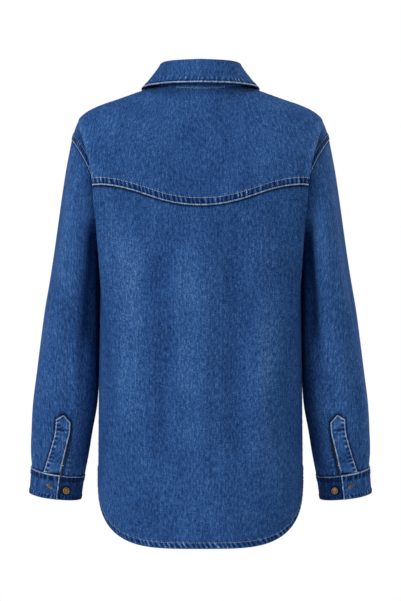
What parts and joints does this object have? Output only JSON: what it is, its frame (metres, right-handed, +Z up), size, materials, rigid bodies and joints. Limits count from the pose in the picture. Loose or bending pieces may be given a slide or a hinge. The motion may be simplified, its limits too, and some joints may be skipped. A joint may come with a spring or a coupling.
{
  "type": "denim shirt",
  "caption": "Long-sleeved denim shirt with a turned-down collar, back yoke, open cuffs and a curved shirt-tail hem, filled out as if worn.",
  "frame": {"origin": "base of the neck, midway between the shoulders, where the wearer holds the shirt up", "axes": "+Z up, -Y towards the front, +X towards the wearer's left"},
  "size_m": [0.5322, 0.2531, 0.7397],
  "materials": {
    "denim": "mid-blue washed denim, matt, with a fine twill",
    "button_metal": "aged brass, half matt"
  },
  "bodies": {
    "root": {"back_body": "denim", "back_yoke": "denim", "front_left": "denim", "front_right": "denim", "front_band": "denim", "collar_stand": "denim", "collar_leaf": "denim", "sleeve_left": "denim", "cuff_left": "denim", "sleeve_placket_left": "denim", "placket_binding_left": "denim", "sleeve_right": "denim", "cuff_right": "denim", "sleeve_placket_right": "denim", "placket_binding_right": "denim", "front_button_1": "button_metal", "front_button_2": "button_metal", "front_button_3": "button_metal", "front_button_4": "button_metal", "front_button_5": "button_metal", "front_button_6": "button_metal", "collar_button": "button_metal", "cuff_button_left": "button_metal", "cuff_button_right": "button_metal"}
  },
  "joints": []
}
